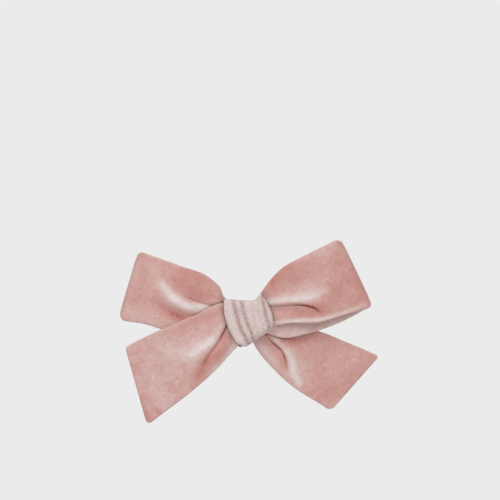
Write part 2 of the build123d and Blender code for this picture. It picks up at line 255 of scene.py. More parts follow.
def velvet(name, stops, patch, grain, pile_scale, pile_height, sheen):
    """Brushed pile: the mesh's attribute, the pile's own tone together with painted highlights and painted
    shade, runs the colour from a deep red where the pile lies flat to a pale where it stands; patches and a
    fine grain move it about, and the pile itself is a small bump."""
    look = Finish(name)
    where = look.place()
    nap_and_painted_light = look.attribute("nap_and_painted_light")
    patches = look.noise(where, scale=90.0, detail=3.0, roughness=0.55, distortion=0.4)
    brushed = look.noise(where, scale=420.0, detail=3.0, roughness=0.6, distortion=0.8)
    fibres = look.noise(where, scale=pile_scale, detail=2.0, roughness=0.6)
    nap_and_light_tone = nap_and_painted_light * NAP_AND_LIGHT_GAIN + 0.5
    rough_pile = (nap_and_light_tone * 1.3 + 0.25).clamped() * grain
    tone = nap_and_light_tone + (patches - 0.5) * patch + (brushed - 0.5) * rough_pile + (fibres - 0.5) * 0.7 * rough_pile
    colour = look.ramp(tone.clamped(), stops)
    pile = look.bump(fibres, strength=0.55, distance=pile_height)
    soft = look.bump(brushed, strength=0.35, distance=pile_height * 2.0, before=pile)
    return look.done(
        Base_Color=colour, Roughness=0.9, Normal=soft, Specular_IOR_Level=0.12,
        Sheen_Weight=sheen, Sheen_Roughness=0.45, Sheen_Tint=(1.0, 0.93, 0.92, 1.0),
    )


# Colour ramps along the tone: the low stops colour the painted shade in creases and grooves, the high ones
# the painted sheen highlights as well as the pile's own pale patches
VELVET_STOPS = [
    (0.0, srgb(112, 64, 56)),
    (0.1, srgb(152, 96, 88)),
    (0.24, srgb(182, 127, 118)),
    (0.5, srgb(195, 156, 149)),
    (0.78, srgb(206, 183, 179)),
    (1.0, srgb(215, 203, 201)),
]
KNOT_STOPS = [
    (0.0, srgb(174, 142, 137)),
    (0.35, srgb(199, 178, 174)),
    (0.65, srgb(211, 198, 195)),
    (1.0, srgb(222, 216, 213)),
]
bow_velvet = velvet(
    "dusty_pink_velvet", VELVET_STOPS,
    patch=0.30, grain=0.50, pile_scale=1500.0, pile_height=0.12 * MM, sheen=0.25,
)
NUB_SCALE = 980.0  # nubs per metre, so about one in each millimetre


def knot_cloth():
    """Velour of the knot band, paler than the bow: the mesh's painted light and shade, nubs from a cell
    pattern, fine grain and patches.
    """
    look = Finish("knot_velour")
    where = look.place()
    nap_and_painted_light = look.attribute("nap_and_painted_light")
    cells = {"Vector": where, "Scale": NUB_SCALE, "Randomness": 0.9}
    nubs = look.add("ShaderNodeTexVoronoi", {"feature": "F1"}, cells)
    fine = look.noise(where, scale=1300.0, detail=2.0, roughness=0.6)
    patches = look.noise(where, scale=240.0, detail=3.0, roughness=0.6)
    tone = nap_and_painted_light * 0.5 + 0.36 + (0.45 - nubs) * 0.4 + (fine - 0.5) * 0.6 + (patches - 0.5) * 0.3
    colour = look.ramp(tone.clamped(), KNOT_STOPS)
    height = (1.0 - nubs) * 0.8 + fine * 0.5
    relief_normal = look.bump(height, strength=0.8, distance=0.35 * MM)
    return look.done(
        Base_Color=colour, Roughness=0.92, Normal=relief_normal, Specular_IOR_Level=0.1,
        Sheen_Weight=0.25, Sheen_Roughness=0.5, Sheen_Tint=(1.0, 0.95, 0.94, 1.0),
    )


knot_velour = knot_cloth()


def metal(name, dark, light, rough_low, rough_high, streak):
    """Plated sheet metal: rolling streaks along the strip, faint cloudiness and handling marks."""
    look = Finish(name)
    where = look.place()
    stretched = look.add("ShaderNodeMapping", {}, {"Vector": where, "Scale": (30.0, 900.0, 900.0)})
    streaks = look.noise(stretched, scale=1.0, detail=4.0, roughness=0.65)
    clouds = look.noise(where, scale=160.0, detail=3.0, roughness=0.5)
    scuffs = look.noise(where, scale=700.0, detail=4.0, roughness=0.7, distortion=1.5)
    colour = look.mix((streaks * 0.6 + clouds * 0.4).clamped(), dark, light)
    rough = rough_low + (streaks * 0.5 + clouds * 0.3 + scuffs * 0.2) * (rough_high - rough_low)
    return look.done(
        Base_Color=colour, Metallic=1.0, Roughness=rough,
        Normal=look.bump(streaks + scuffs * 0.4, strength=streak, distance=0.03 * MM),
    )


nickel = metal(
    "nickel_plate", dark=srgb(190, 187, 182), light=srgb(226, 224, 220),
    rough_low=0.16, rough_high=0.36, streak=0.25,
)
spring_steel = metal(
    "spring_steel", dark=srgb(160, 160, 162), light=srgb(205, 205, 206),
    rough_low=0.24, rough_high=0.46, streak=0.4,
)


def glue_finish():
    """Dried glue: cloudy cream with soft lumps."""
    look = Finish("dried_glue")
    where = look.place()
    cloud = look.noise(where, scale=300.0, detail=3.0, roughness=0.5)
    lumps = look.noise(where, scale=900.0, detail=2.0, roughness=0.5)
    colour = look.ramp(cloud, [(0.2, srgb(222, 212, 192)), (0.8, srgb(238, 232, 218))])
    lumpy = look.bump(lumps, strength=0.5, distance=0.2 * MM)
    return look.done(Base_Color=colour, Roughness=0.32 + lumps * 0.2, Normal=lumpy)


def thread_finish():
    """Sewing thread: slanting bands of two pinks stand for its twist, the darker ones painted shade between
    its strands.
    """
    look = Finish("sewing_thread")
    where = look.place()
    bands = {"wave_type": "BANDS", "bands_direction": "DIAGONAL"}
    wave = look.add("ShaderNodeTexWave", bands, {"Vector": where, "Scale": 900.0, "Distortion": 1.0})
    colour = look.mix(wave, srgb(176, 118, 111), srgb(208, 160, 154))
    twisted = look.bump(wave, strength=0.7, distance=0.1 * MM)
    return look.done(Base_Color=colour, Roughness=0.7, Normal=twisted)


# ---------------------------------------------------------------- curves and grids
LINE_POINTS = 90  # a smooth line is cut into this many points before distances to it are taken


def smooth_line(points, share):
    """Points at the given shares of a smooth line through all of points: cubic Hermite pieces spaced by
    chord length, each tangent taken from the neighbours on both sides."""
    p = np.asarray(points, float)
    if p.ndim == 1:
        p = p[:, None]
    step = np.linalg.norm(np.diff(p, axis=0), axis=1)
    knots = np.r_[0, np.cumsum(step)] / step.sum()
    slope = np.gradient(p, knots, axis=0)
    share = np.clip(np.asarray(share, float), 0, 1)
    i = np.clip(np.searchsorted(knots, share, side="right") - 1, 0, len(knots) - 2)
    span = (knots[i + 1] - knots[i])[..., None]
    u = (share - knots[i])[..., None] / span
    return (
        (2 * u**3 - 3 * u**2 + 1) * p[i]
        + (u**3 - 2 * u**2 + u) * span * slope[i]
        + (3 * u**2 - 2 * u**3) * p[i + 1]
        + (u**3 - u**2) * span * slope[i + 1]
    )


def levels(stations, values, share):
    """Smoothly eased value at share, through (station, value) pairs."""
    i = np.clip(np.searchsorted(stations, share, side="right") - 1, 0, len(stations) - 2)
    a, b = np.asarray(stations)[i], np.asarray(stations)[i + 1]
    u = np.clip((share - a) / (b - a), 0, 1)
    u = u * u * (3 - 2 * u)
    return np.asarray(values)[i] * (1 - u) + np.asarray(values)[i + 1] * u


def near_line(x, z, line):
    """Distance of every point from a smooth line drawn in the bow's plane, +1 or -1 for the side it
    lies on (left of the line's run is +1), and the share of the line at its nearest point."""
    share = np.linspace(0, 1, LINE_POINTS)
    p = smooth_line(line, share)
    a, b = p[:-1], p[1:]
    run = b - a
    px, pz = x[..., None], z[..., None]
    u = ((px - a[:, 0]) * run[:, 0] + (pz - a[:, 1]) * run[:, 1]) / (run**2).sum(1)
    u = np.clip(u, 0, 1)
    gap_x, gap_z = px - a[:, 0] - u * run[:, 0], pz - a[:, 1] - u * run[:, 1]
    square = gap_x**2 + gap_z**2
    k = square.argmin(-1)[..., None]

    def pick(values):
        """Each point's value for the stretch of line nearest to it."""
        return np.take_along_axis(values, k, -1)[..., 0]

    cross = run[k[..., 0], 0] * pick(gap_z) - run[k[..., 0], 1] * pick(gap_x)
    return np.sqrt(pick(square)), np.where(cross >= 0, 1.0, -1.0), (k[..., 0] + pick(u)) / len(a)


def ridge(x, z, line, width, strength):
    """Rounded hump along a line: strength is its height at evenly spaced stations of the line."""
    gap, _, share = near_line(x, z, line)
    height = np.interp(share, np.linspace(0, 1, len(strength)), strength)
    return height * np.exp(-((gap / width) ** 2))


def tuck(x, z, line, width, reach, strength):
    """Cloth that laps over on the left of a line: it stands forward there, falls away over reach, and
    drops steeply across the line within width."""
    gap, side, share = near_line(x, z, line)
    height = np.interp(share, np.linspace(0, 1, len(strength)), strength)
    across = np.clip(gap * side / width * 0.5 + 0.5, 0, 1)
    return height * across * across * (3 - 2 * across) * np.exp(-((gap / reach) ** 2))


def grid_normals(points):
    """Unit normals of a grid of points: the cross product of its slopes down and across."""
    along, across = np.gradient(points, axis=0), np.gradient(points, axis=1)
    normal = np.cross(along, across)
    length = np.linalg.norm(normal, axis=-1, keepdims=True)
    return normal / np.maximum(length, 1e-12)


def new_mesh(name, vertices, faces, attributes=None):
    """Object with the given vertices (mm) and quads, smooth shaded, with float attributes on its points."""
    mesh = bpy.data.meshes.new(name)
    vertices = np.asarray(vertices, float) * MM
    faces = np.asarray(faces, np.int32)
    mesh.vertices.add(len(vertices))
    mesh.vertices.foreach_set("co", vertices.ravel())
    mesh.loops.add(faces.size)
    mesh.loops.foreach_set("vertex_index", faces.ravel())
    mesh.polygons.add(len(faces))
    mesh.polygons.foreach_set("loop_start", np.arange(0, faces.size, 4, dtype=np.int32))
    mesh.polygons.foreach_set("loop_total", np.full(len(faces), 4, np.int32))
    mesh.polygons.foreach_set("use_smooth", np.ones(len(faces), bool))
    for key, values in (attributes or {}).items():
        layer = mesh.attributes.new(key, "FLOAT", "POINT")
        layer.data.foreach_set("value", np.asarray(values, float).ravel())
    mesh.update()
    mesh.validate()
    piece = bpy.data.objects.new(name, mesh)
    bpy.context.collection.objects.link(piece)
    return piece


def grid_quads(ids, flip=False):
    """Quads of a grid of point numbers, or the same quads turned over."""
    corners = [ids[:-1, :-1], ids[1:, :-1], ids[1:, 1:], ids[:-1, 1:]]
    if flip:
        corners = corners[::-1]
    return np.stack(corners, -1).reshape(-1, 4)


def shell(name, middle, half, nap_and_painted_light, reverse):
    """Closed cloth: the middle surface moved half its thickness both ways along its normal. The two
    faces share the vertices of the grid's border, where the thickness is nought. The first face is the
    one whose early rows look away from the head, and each face has a tone of its own, the pile's tone with
    painted light and shade."""
    rows, columns = half.shape
    normal = grid_normals(middle)
    mirrored = normal[rows // 4, columns // 2, 1] > 0
    if mirrored:
        normal = -normal
    front = middle + normal * half[..., None]
    back = middle - normal * half[..., None]
    first = np.arange(rows * columns).reshape(rows, columns)
    second = first.copy()
    inner = np.zeros((rows, columns), bool)
    inner[1:-1, 1:-1] = True
    second[inner] = rows * columns + np.arange(inner.sum())
    vertices = np.concatenate([np.where(inner[..., None], front, middle).reshape(-1, 3), back[inner]])
    faces = np.concatenate([grid_quads(first, mirrored), grid_quads(second, not mirrored)])
    return new_mesh(name, vertices, faces, {"nap_and_painted_light": np.concatenate([nap_and_painted_light.ravel(), reverse[inner]])})


def across_stations(count, width):
    """Shares across a strip: even, with extra rows close to both turned edges."""
    rim = np.array([0, 0.08, 0.3, 0.65, 1.1]) * RIM / width
    return np.concatenate([rim, np.linspace(1.7 * RIM / width, 1 - 1.7 * RIM / width, count), 1 - rim[::-1]])


def rim_profile(edge_gap):
    """Half thickness of the cloth tube: a half round at its edge, then the full radius."""
    share = np.clip(edge_gap / RIM, 0, 1)
    return RIM * np.sqrt(1 - (1 - share) ** 2)


# ---------------------------------------------------------------- the bow's wings
# Side edges of the knot and creases of the cloth are drawn in the bow's plane, in mm from the knot's centre
KNOT_LEFT = [(-14, 11.5), (-14, 6), (-13, 0.5), (-11.5, -4), (-9, -9), (-6.5, -12.5), (-4.5, -13.5)]
KNOT_RIGHT = [(6, 15), (9, 11), (11, 7), (12.5, 3), (13, -3)]
KNOT_TOP = [(-14, 11.5), (-10, 11.5), (-3, 11), (3, 11.5), (5, 13.5), (6, 15)]
KNOT_BOTTOM = [(-4.5, -13.5), (-2, -14), (1.5, -12), (5, -9.5), (8.5, -7), (13, -3)]
GRIP_EASE = 4.5  # the cloth rises from under the knot over this distance
GRIP_LEAD = 0.1  # share of that distance that counts as passed at the knot's edge
GRIP_RELIEF = 0.15  # share of its folds that the cloth keeps under the knot
PUFF = 0.35  # a wing is this much fuller each way, well inside its edges
PUFF_REACH = 6.0
EDGE_SHEEN = 0.2  # painted sheen highlight added to the tone along a strip's turned edges
EDGE_SHEEN_WIDTH = 0.9
COVER_EASE = 3.0  # a wing's folds fade over this distance as it goes under another wing
COVER_LEAD = 1.0  # and they are gone this far under the other one's edge
LOOP_STATIONS = (0, 0.2, 0.62, 1)  # shares of a loop's reach at which its depths are given
BEND_FADE = 0.08  # a loop's folds run out over this last share of its reach


def outside_knot(x, z):
    """How far a point lies outside the knot's left edge, or its right edge and the slanted bottom that
    follows it; negative between them. Both run downwards, so what is right of them is left of their run."""
    left_gap, left_side, _ = near_line(x, z, KNOT_LEFT)
    right_gap, right_side, _ = near_line(x, z, KNOT_RIGHT + KNOT_BOTTOM[-2:1:-1])
    return np.maximum(-left_gap * left_side, right_gap * right_side)


def eased(share):
    """Smooth step from 0 to 1."""
    share = np.clip(share, 0, 1)
    return share * share * (3 - 2 * share)


def painted(x, z, base, strokes):
    """Tone of the pile with painted light and shade: a base value with soft strokes added along lines, among
    them painted highlights and painted shade. A stroke is (line, width, strengths).
    """
    tone = np.full(x.shape, float(base))
    for line, width, strength in strokes:
        tone = tone + ridge(x, z, line, width, strength)
    return tone


def relief(x, z, folds):
    """Forward stand of the cloth, in mm, summed over its folds."""
    rise = np.zeros(x.shape)
    for kind, *fold in folds:
        rise = rise + kind(x, z, *fold)
    return rise


def corner_inset(end_gap, radius):
    """How far a rounded corner stands inside the straight edge, by the distance from the strip's end."""
    short = np.clip(radius - end_gap, 0, radius)
    return radius - np.sqrt(radius**2 - short**2)


def spread(top, bottom, across, end_gap, corners):
    """Points straight across between two edges, drawn in near the end for corners of two radii. Returns
    their places and their distances from the nearer long edge."""
    width = np.linalg.norm(top - bottom, axis=1)
    first, second = (corner_inset(end_gap, radius) / width for radius in corners)
    share = first[:, None] + across[None, :] * (1 - first - second)[:, None]
    flat = top[:, None] * (1 - share[..., None]) + bottom[:, None] * share[..., None]
    return flat, np.minimum(across, 1 - across)[None, :] * width[:, None]


def cloth_half(edge_gap, hidden):
    """Half thickness: rounded edges, a little puff inside them, and nothing at the hidden end."""
    gap = np.minimum(edge_gap, hidden)
    half = rim_profile(gap) + PUFF * np.clip(gap / PUFF_REACH, 0, 1)
    half[[0, -1]] = 0
    half[:, [0, -1]] = 0
    return half


def under_share(x, z, cover, side):
    """1 where the cloth is in the open, easing to 0 where the wing whose edge is cover lies over it."""
    gap, which, _ = near_line(x, z, cover)
    return eased((gap * which * side + COVER_LEAD) / COVER_EASE)


def gripped(x, z, held, free, rise):
    """Depth of a wing: held under the knot, easing outside it to the free depth less the folds' rise."""
    out = eased(outside_knot(x, z) / GRIP_EASE + GRIP_LEAD)
    return held * (1 - out) + free * out - rise * (GRIP_RELIEF + (1 - GRIP_RELIEF) * out)


def edge_sheen(edge_gap):
    """Painted sheen highlight that fades away from the turned edges as a bell curve."""
    return EDGE_SHEEN * np.exp(-((edge_gap / EDGE_SHEEN_WIDTH) ** 2))


def tail(name, upper, lower, depth, held, folds, base, strokes, corners, cover=None):
    """A tail. Its middle surface is straight across between two edge curves. Its depth eases through
    depth's (share, value) pairs, less the folds, and is held at the knot."""
    along = np.concatenate([np.linspace(0, 0.955, 150), 1 - 0.045 * (1 - np.linspace(0, 1, 16)[1:]) ** 1.6])
    across = across_stations(110, STRIP_WIDTH / MM)
    length = np.linalg.norm(np.subtract(upper[-1], upper[0]))
    end_gap = (1 - along) * length
    flat, edge_gap = spread(smooth_line(upper, along), smooth_line(lower, along), across, end_gap, corners)
    x, z = flat[..., 0], flat[..., 1]
    rise = relief(x, z, folds)
    if cover is not None:
        rise = rise * under_share(x, z, *cover)
    stations, values = zip(*depth)
    y = gripped(x, z, held, levels(stations, values, along)[:, None], rise)
    half = cloth_half(np.minimum(edge_gap, end_gap[:, None]), along[:, None] * length)
    tone = painted(x, z, base, strokes) + edge_sheen(edge_gap)
    return shell(name, np.stack([x, y, z], -1), half, tone, REVERSE_NAP_AND_LIGHT * tone)


def loop(name, front, back, fold_edge, depth, fold_radius, folds, base, strokes, inner, corners, cover=None):
    """A loop: a front layer out to the fold, a half round over the fold edge, and a back layer home. Each
    layer is straight across between its two edge curves; front and back are (upper, lower) curves."""
    rows, bend = 120, 14
    out = np.linspace(0, 1, rows)
    across = across_stations(100, STRIP_WIDTH / MM)
    edge = np.asarray(fold_edge, float)
    run = (edge[1] - edge[0]) / np.linalg.norm(edge[1] - edge[0])
    away = np.array([-run[1], run[0]])
    away = away * np.sign(away @ edge[0])
    hinge = edge - away * fold_radius
    turn = np.linspace(-math.pi / 2, math.pi / 2, bend + 2)[1:-1]
    length = np.linalg.norm(hinge[0] - front[0][0])
    reach = (1 - out) * length + fold_radius
    rails = [[smooth_line([*line, hinge[k]], out) for k, line in enumerate(pair)] for pair in (front, back)]
    bent = [hinge[k] + away * fold_radius * np.cos(turn)[:, None] for k in (0, 1)]
    top = np.concatenate([rails[0][0], bent[0], rails[1][0][::-1]])
    bottom = np.concatenate([rails[0][1], bent[1], rails[1][1][::-1]])
    end_gap = np.concatenate([reach, fold_radius * (1 - np.cos(turn)), reach[::-1]])
    flat, edge_gap = spread(top, bottom, across, end_gap, corners)
    x, z = flat[..., 0], flat[..., 1]
    mid = (depth[0][-1] + depth[1][-1]) / 2
    half_turn = (depth[1][-1] - depth[0][-1]) / 2 * np.sin(turn)
    front_y, back_y = (levels(LOOP_STATIONS, values, out) for values in depth)
    y = np.concatenate([front_y, mid + half_turn, back_y[::-1]])[:, None]
    held = np.where(np.arange(len(y)) < rows + bend // 2, depth[0][0], depth[1][0])[:, None]
    front_share = np.concatenate([np.clip((1 - out) / BEND_FADE, 0, 1), np.zeros(bend + rows)])[:, None]
    rise = relief(x, z, folds) * front_share
    if cover is not None:
        rise = rise * under_share(x, z, *cover)
    y = gripped(x, z, held, y, rise)
    tone = painted(x, z, base, strokes)
    tone[rows + bend // 2:] = base
    tone = tone + edge_sheen(edge_gap)
    inside = REVERSE_NAP_AND_LIGHT * tone
    inside[rows + bend // 2:] = inner
    steps = np.arange(len(y))
    hidden = np.minimum(steps, steps[::-1])[:, None] * length / rows
    return shell(name, np.stack([x, y, z], -1), cloth_half(edge_gap, hidden), tone, inside)


HELD_FRONT = FRONT_PASS + 0.6  # depth of the front wings where the knot presses them back
FOLD_RADIUS = 3.0
LAYER = 0.9  # half the strip's thickness, from its outer face to its middle
right_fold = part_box("right_loop_front")[1][1] / MM
left_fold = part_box("left_loop_front")[1][1] / MM
right_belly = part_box("right_loop_front")[0][1] / MM + LAYER
left_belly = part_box("left_loop_front")[0][1] / MM + LAYER
left_tail_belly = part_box("left_tail")[0][1] / MM + LAYER

LEFT_TAIL_TOP = [(-2, 5), (-14, 9.5), (-30, 3), (-47.5, -4.5), (-63, -12), (-67.5, -14.5)]
RIGHT_LOOP_UNDER = [(5, -4), (11, -7.5), (18, -9.5), (30.5, -7.5), (46, -2.5), (56, 2)]


def make_right_loop():
    """Right loop: one long fold from the knot with a painted highlight above its crease, a soft hollow under
    it painted darker, an open mouth below.
    """
    crease = [(7, 8.5), (14, 9), (21, 9.5), (27.5, 9.5), (32.5, 8.5), (36, 7), (38.5, 4)]
    lip = [(10, -1.5), (21.5, 0), (31, 0.5), (39, 1), (48, 3.5), (62, 8.5)]
    return loop(
        "right_loop",
        front=(
            [(2, 5), (6.5, 15.5), (10, 20.5), (17.5, 28.5), (30, 35.5)],
            [(4, -2.5), (13, -3), (21.5, -1.5), (38, -1), (48, 2)],
        ),
        back=([(3, 4), (8, 15), (16, 26), (29, 34)], RIGHT_LOOP_UNDER),
        fold_edge=((48.5, 44.5), (66, 7.5)),
        depth=(
            (HELD_FRONT, FRONT_PASS - 1.2, right_belly, right_fold - FOLD_RADIUS),
            (MIDDLE_PASS, MIDDLE_PASS - 0.5, MIDDLE_PASS - 0.9, right_fold + FOLD_RADIUS),
        ),
        fold_radius=FOLD_RADIUS,
        folds=[
            (tuck, crease, 0.7, 7.5, (2.4, 2.4, 2.2, 1.8, 1.2, 0.5, 0.0)),
            (ridge, [(8, -1), (16, 1), (28, 1.5), (40, 3)], 3.0, (0.8, 0.8, 0.4, 0.0)),
            (ridge, [(10, 17), (18, 23), (28, 29)], 5.0, (1.4, 1.0, 0.0)),
            (ridge, [(12, 5), (22, 5.5), (33, 5), (42, 6)], 2.4, (-0.7, -0.6, -0.7, 0.0)),
        ],
        base=-0.12,
        strokes=[
            # painted sheen highlight above the crease, then its broader glow
            ([(8, 10.5), (18, 11), (27, 12), (34, 13.5), (39, 16)], 2.2, (0.85, 0.85, 0.7, 0.65, 0.2)),
            ([(20, 14), (30, 15.5), (40, 18.5), (43, 21)], 5.0, (0.15, 0.35, 0.35, 0.1)),
            ([(12, 22), (20, 29), (32, 34)], 4.0, (-0.3, -0.25, -0.1)),
            ([(11, 15), (20, 21), (30, 25)], 4.5, (-0.1, -0.2, -0.1)),
            # painted shade in the hollow under the fold
            ([(24, 5.5), (33, 4.5), (40, 7), (44, 10)], 3.6, (-0.15, -0.35, -0.35, -0.1)),
            ([(50, 13), (58, 12), (60, 18)], 4.0, (-0.1, -0.25, -0.15)),
            ([(46, 18), (54, 24), (56, 32)], 5.0, (-0.2, -0.2, -0.1)),
            # painted shade along the crease
            (crease, 0.7, (-0.2, -0.4, -0.7, -1.0, -1.1, -0.8, 0.0)),
            # painted sheen highlight along the mouth's lip
            (lip, 1.1, (0.6, 0.9, 0.9, 0.8, 0.6, 0.3)),
            ([(24, 34), (36, 36), (44, 40)], 3.0, (0.2, 0.25, 0.2)),
        ],
        # painted light: the inside of the back layer, seen in the mouth, is lighter to lift the shade under
        # the front layer
        inner=0.3,
        corners=(2.5, 1.2),
    )


def make_left_loop():
    """Left loop: a fold, painted bright along its ridge, swings down from its middle and in to the knot, with
    a lobe above it.
    """
    fold = [(-48, 21), (-45.5, 17.5), (-43, 14), (-38, 10), (-32, 7.5), (-24, 7.5), (-15, 8), (-9, 8)]
    crease = [(-34, 13), (-29.5, 10.5), (-25, 9), (-20, 8.5), (-15, 9), (-9, 9.5)]
    valley = [(-52, 11.5), (-46, 6.5), (-38, 2), (-33, 0)]
    return loop(
        "left_loop",
        front=(
            [(-2, 5), (-9, 10), (-13.5, 12.5), (-16, 18), (-22.5, 24), (-38, 30)],
            [(-2, -4), (-12, -4.5), (-26, -5.5), (-38, -5.5), (-48, -4.5), (-56.5, -2)],
        ),
        back=(
            [(-2, 4), (-9, 9), (-13.5, 12), (-17, 18), (-23, 23.5), (-38, 29)],
            [(-2, -3), (-12, -3.5), (-26, -4.5), (-38, -4.5), (-48, -3.5), (-56.5, -1.5)],
        ),
        fold_edge=((-59.5, 37.5), (-70.5, 0.5)),
        depth=(
            (MIDDLE_PASS, MIDDLE_PASS - 0.6, left_belly, left_fold - FOLD_RADIUS),
            (REAR_PASS, REAR_PASS + 0.4, REAR_PASS + 0.8, left_fold + FOLD_RADIUS),
        ),
        fold_radius=FOLD_RADIUS,
        folds=[
            (ridge, fold, 3.2, (0.0, 0.8, 1.3, 1.8, 2.0, 1.9, 1.8, 1.6)),
            (ridge, crease, 1.2, (0.0, -0.7, -1.3, -1.5, -1.6, -1.6)),
            (ridge, [(-42, 22), (-32, 18), (-22, 15), (-14, 13)], 5.0, (0.4, 1.0, 1.6, 1.6)),
            (ridge, valley, 3.4, (0.0, -0.9, -1.4, -1.2)),
            (ridge, [(-62, 5), (-52, 0.5), (-44, -1.5)], 3.4, (0.2, 0.8, 0.9)),
        ],
        base=-0.08,
        strokes=[
            # painted sheen highlight along the fold's ridge, then its broader glow
            (fold, 2.2, (0.25, 0.65, 0.95, 0.95, 0.9, 0.75, 0.55, 0.3)),
            ([(-50, 23), (-47, 19), (-42, 14)], 4.4, (0.1, 0.3, 0.25)),
            # painted shade along the crease
            (crease, 0.8, (-0.2, -0.8, -1.2, -1.3, -1.2, -0.8)),
            ([(-45, 25), (-36, 19.5), (-28, 14.5), (-19, 12)], 4.6, (-0.1, -0.25, -0.25, -0.15)),
            ([(-34, 27), (-24, 21.5), (-17, 16)], 3.4, (-0.15, -0.2, -0.1)),
            # painted shade in the valley
            (valley, 3.0, (-0.1, -0.45, -0.55, -0.45)),
            ([(-66, 5), (-57, 1), (-48, -2)], 2.8, (0.25, 0.25, 0.2)),
            ([(-63, 20), (-60, 31), (-50, 33)], 5.0, (0.06, 0.12, 0.05)),
        ],
        inner=-0.1,
        corners=(1.6, 2.6),
        cover=(LEFT_TAIL_TOP, -1),
    )


def make_left_tail():
    """Left tail, in front: a crease, painted dark, drops from the knot with a broad painted sheen highlight
    on its outer side.
    """
    crease = [(-9, 2), (-12.5, -2), (-14.5, -5.5), (-17, -10.5), (-20, -14.5), (-23, -19), (-26.5, -25)]
    dimple = [(-52, -47), (-49.5, -49.5), (-47.5, -51.5)]
    return tail(
        "left_tail_cloth",
        upper=LEFT_TAIL_TOP,
        lower=[(-1, -9), (-7.5, -15), (-17, -25.5), (-31.5, -38.5), (-48.5, -51.5), (-55.5, -57)],
        depth=[(0, FRONT_PASS), (0.16, FRONT_PASS - 0.6), (0.5, left_tail_belly), (1, left_tail_belly + 1.0)],
        held=HELD_FRONT,
        folds=[
            (tuck, crease[::-1], 0.8, 8.0, (0.0, 0.7, 1.5, 2.0, 2.3, 2.4, 2.2)),
            (ridge, crease, 1.3, (-1.2, -1.4, -1.4, -1.0, -0.7, -0.4, 0.0)),
            (ridge, [(-13, -12), (-18, -20), (-27, -31)], 3.2, (1.4, 1.1, 0.3)),
            (ridge, [(-22, -14), (-30, -20), (-38, -25)], 5.5, (0.8, 0.7, 0.0)),
            (ridge, dimple, 1.3, (0.0, -0.5, -0.6)),
        ],
        base=0.0,
        strokes=[
            ([(-16, 5.5), (-27, 1), (-40, -5)], 3.4, (-0.22, -0.22, -0.1)),
            # painted sheen highlights: a band beside the crease and a broad patch beyond it
            ([(-15, -4), (-19, -9), (-24, -13.5), (-31, -18)], 2.2, (0.35, 0.55, 0.5, 0.2)),
            ([(-22, -12), (-33, -18), (-42, -18)], 5.2, (0.35, 0.48, 0.2)),
            # painted shade along the crease
            (crease, 0.9, (-1.2, -1.6, -1.5, -1.0, -0.7, -0.35, 0.0)),
            ([(-19.5, -17), (-23.5, -22), (-27, -29), (-29, -33)], 3.2, (-0.35, -0.65, -0.6, -0.2)),
            ([(-11.5, -7), (-14, -13), (-17, -20)], 2.4, (-0.3, -0.3, -0.3)),
            ([(-8, -12), (-15, -22), (-23, -30)], 1.7, (0.4, 0.3, 0.15)),
            ([(-38, -12), (-48, -18), (-56, -28)], 6.0, (0.05, 0.14, 0.14)),
            ([(-44, -28), (-50, -36), (-46, -43)], 5.0, (0.1, 0.26, 0.2)),
            ([(-60, -42), (-57, -50), (-54, -54)], 2.4, (-0.1, -0.3, -0.25)),
            # painted shade in the dimple
            (dimple, 1.1, (-0.1, -0.55, -0.6)),
        ],
        corners=(1.6, 3.4),
    )


def make_right_tail():
    """Right tail, behind the right loop: a deep short crease under the knot, painted dark, and a painted
    sheen highlight on its outer side.
    """
    crease = [(8.5, -7), (11, -9.5), (15, -13.5), (18.5, -17), (20, -21.5), (20.5, -26)]
    return tail(
        "right_tail_cloth",
        upper=[(2, 3), (12, 0.5), (24, -3.5), (38, -6), (52, -11.5), (67.5, -18), (71, -19.5)],
        lower=[(0, -7), (2.5, -13), (13, -26.5), (24, -36.5), (39, -46), (44.5, -49.5)],
        depth=[(0, REAR_PASS), (0.16, REAR_PASS + 0.2), (0.55, REAR_PASS + 0.5), (1, REAR_PASS - 0.2)],
        held=REAR_PASS,
        folds=[
            (tuck, crease, 0.7, 6.5, (2.2, 2.2, 1.9, 1.4, 0.8, 0.0)),
            (ridge, crease, 1.2, (-1.0, -1.2, -1.3, -0.9, -0.4, 0.0)),
            (ridge, [(6, -14), (13, -23), (20, -30)], 3.4, (1.2, 0.9, 0.2)),
            (ridge, [(24, -18), (27, -26), (31, -34)], 4.0, (0.9, 0.7, 0.1)),
        ],
        base=-0.1,
        strokes=[
            # painted highlight along the edge of the crease's fold
            ([(10.5, -8.5), (15.5, -12), (19.5, -16.5)], 1.0, (0.6, 0.8, 0.5)),
            # painted shade along the crease
            (crease, 0.95, (-0.7, -1.2, -1.6, -1.5, -0.9, -0.3)),
            # painted sheen highlight on the outer side, then its broader glow
            ([(20.5, -17), (23, -22.5), (24, -28), (27, -34)], 2.2, (0.5, 0.7, 0.65, 0.6)),
            ([(24, -20), (27, -27), (31, -33)], 4.8, (0.15, 0.25, 0.15)),
            ([(17.5, -20), (18.5, -25), (19.5, -28)], 2.0, (-0.15, -0.2, -0.1)),
            ([(12, -18), (15, -22), (18, -27)], 2.2, (-0.1, -0.15, -0.15)),
            ([(4.5, -12), (9, -17), (15, -24), (22, -31)], 2.2, (0.5, 0.5, 0.35, 0.2)),
            # painted shadow under the right loop's edge
            ([(18, -10.5), (26, -11), (34, -9)], 2.4, (-0.35, -0.4, -0.25)),
            ([(40, -22), (50, -26), (56, -24)], 5.0, (0.0, 0.12, 0.08)),
            ([(34, -38), (46, -38), (58, -30)], 5.0, (-0.12, -0.16, -0.1)),
        ],
        corners=(2.2, 3.2),
        cover=(RIGHT_LOOP_UNDER, -1),
    )


